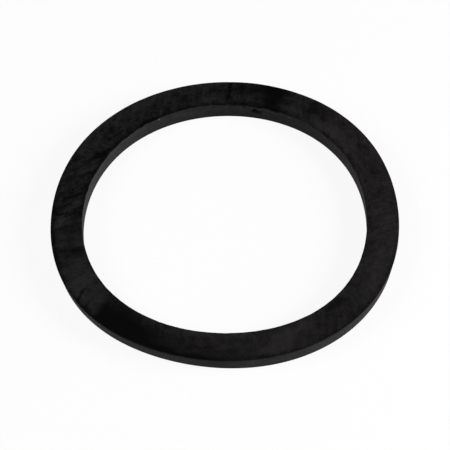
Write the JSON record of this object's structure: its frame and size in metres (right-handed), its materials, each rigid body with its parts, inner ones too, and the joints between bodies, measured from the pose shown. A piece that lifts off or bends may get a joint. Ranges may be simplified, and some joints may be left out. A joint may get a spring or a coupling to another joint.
{
  "type": "rubber gasket",
  "caption": "Flat round rubber gasket: a plain ring of rectangular section that seals the joint between two coupling faces.",
  "frame": {"origin": "middle of the hole, on the lower sealing face", "axes": "+Z along the ring's axis, from the lower sealing face to the upper one; X and Y lie in the lower face"},
  "size_m": [0.1238, 0.1238, 0.0063],
  "materials": {
    "black_rubber": "matte to satin, with pale smears of dust and bloom"
  },
  "bodies": {
    "root": {"gasket_ring": "black_rubber"}
  },
  "joints": []
}
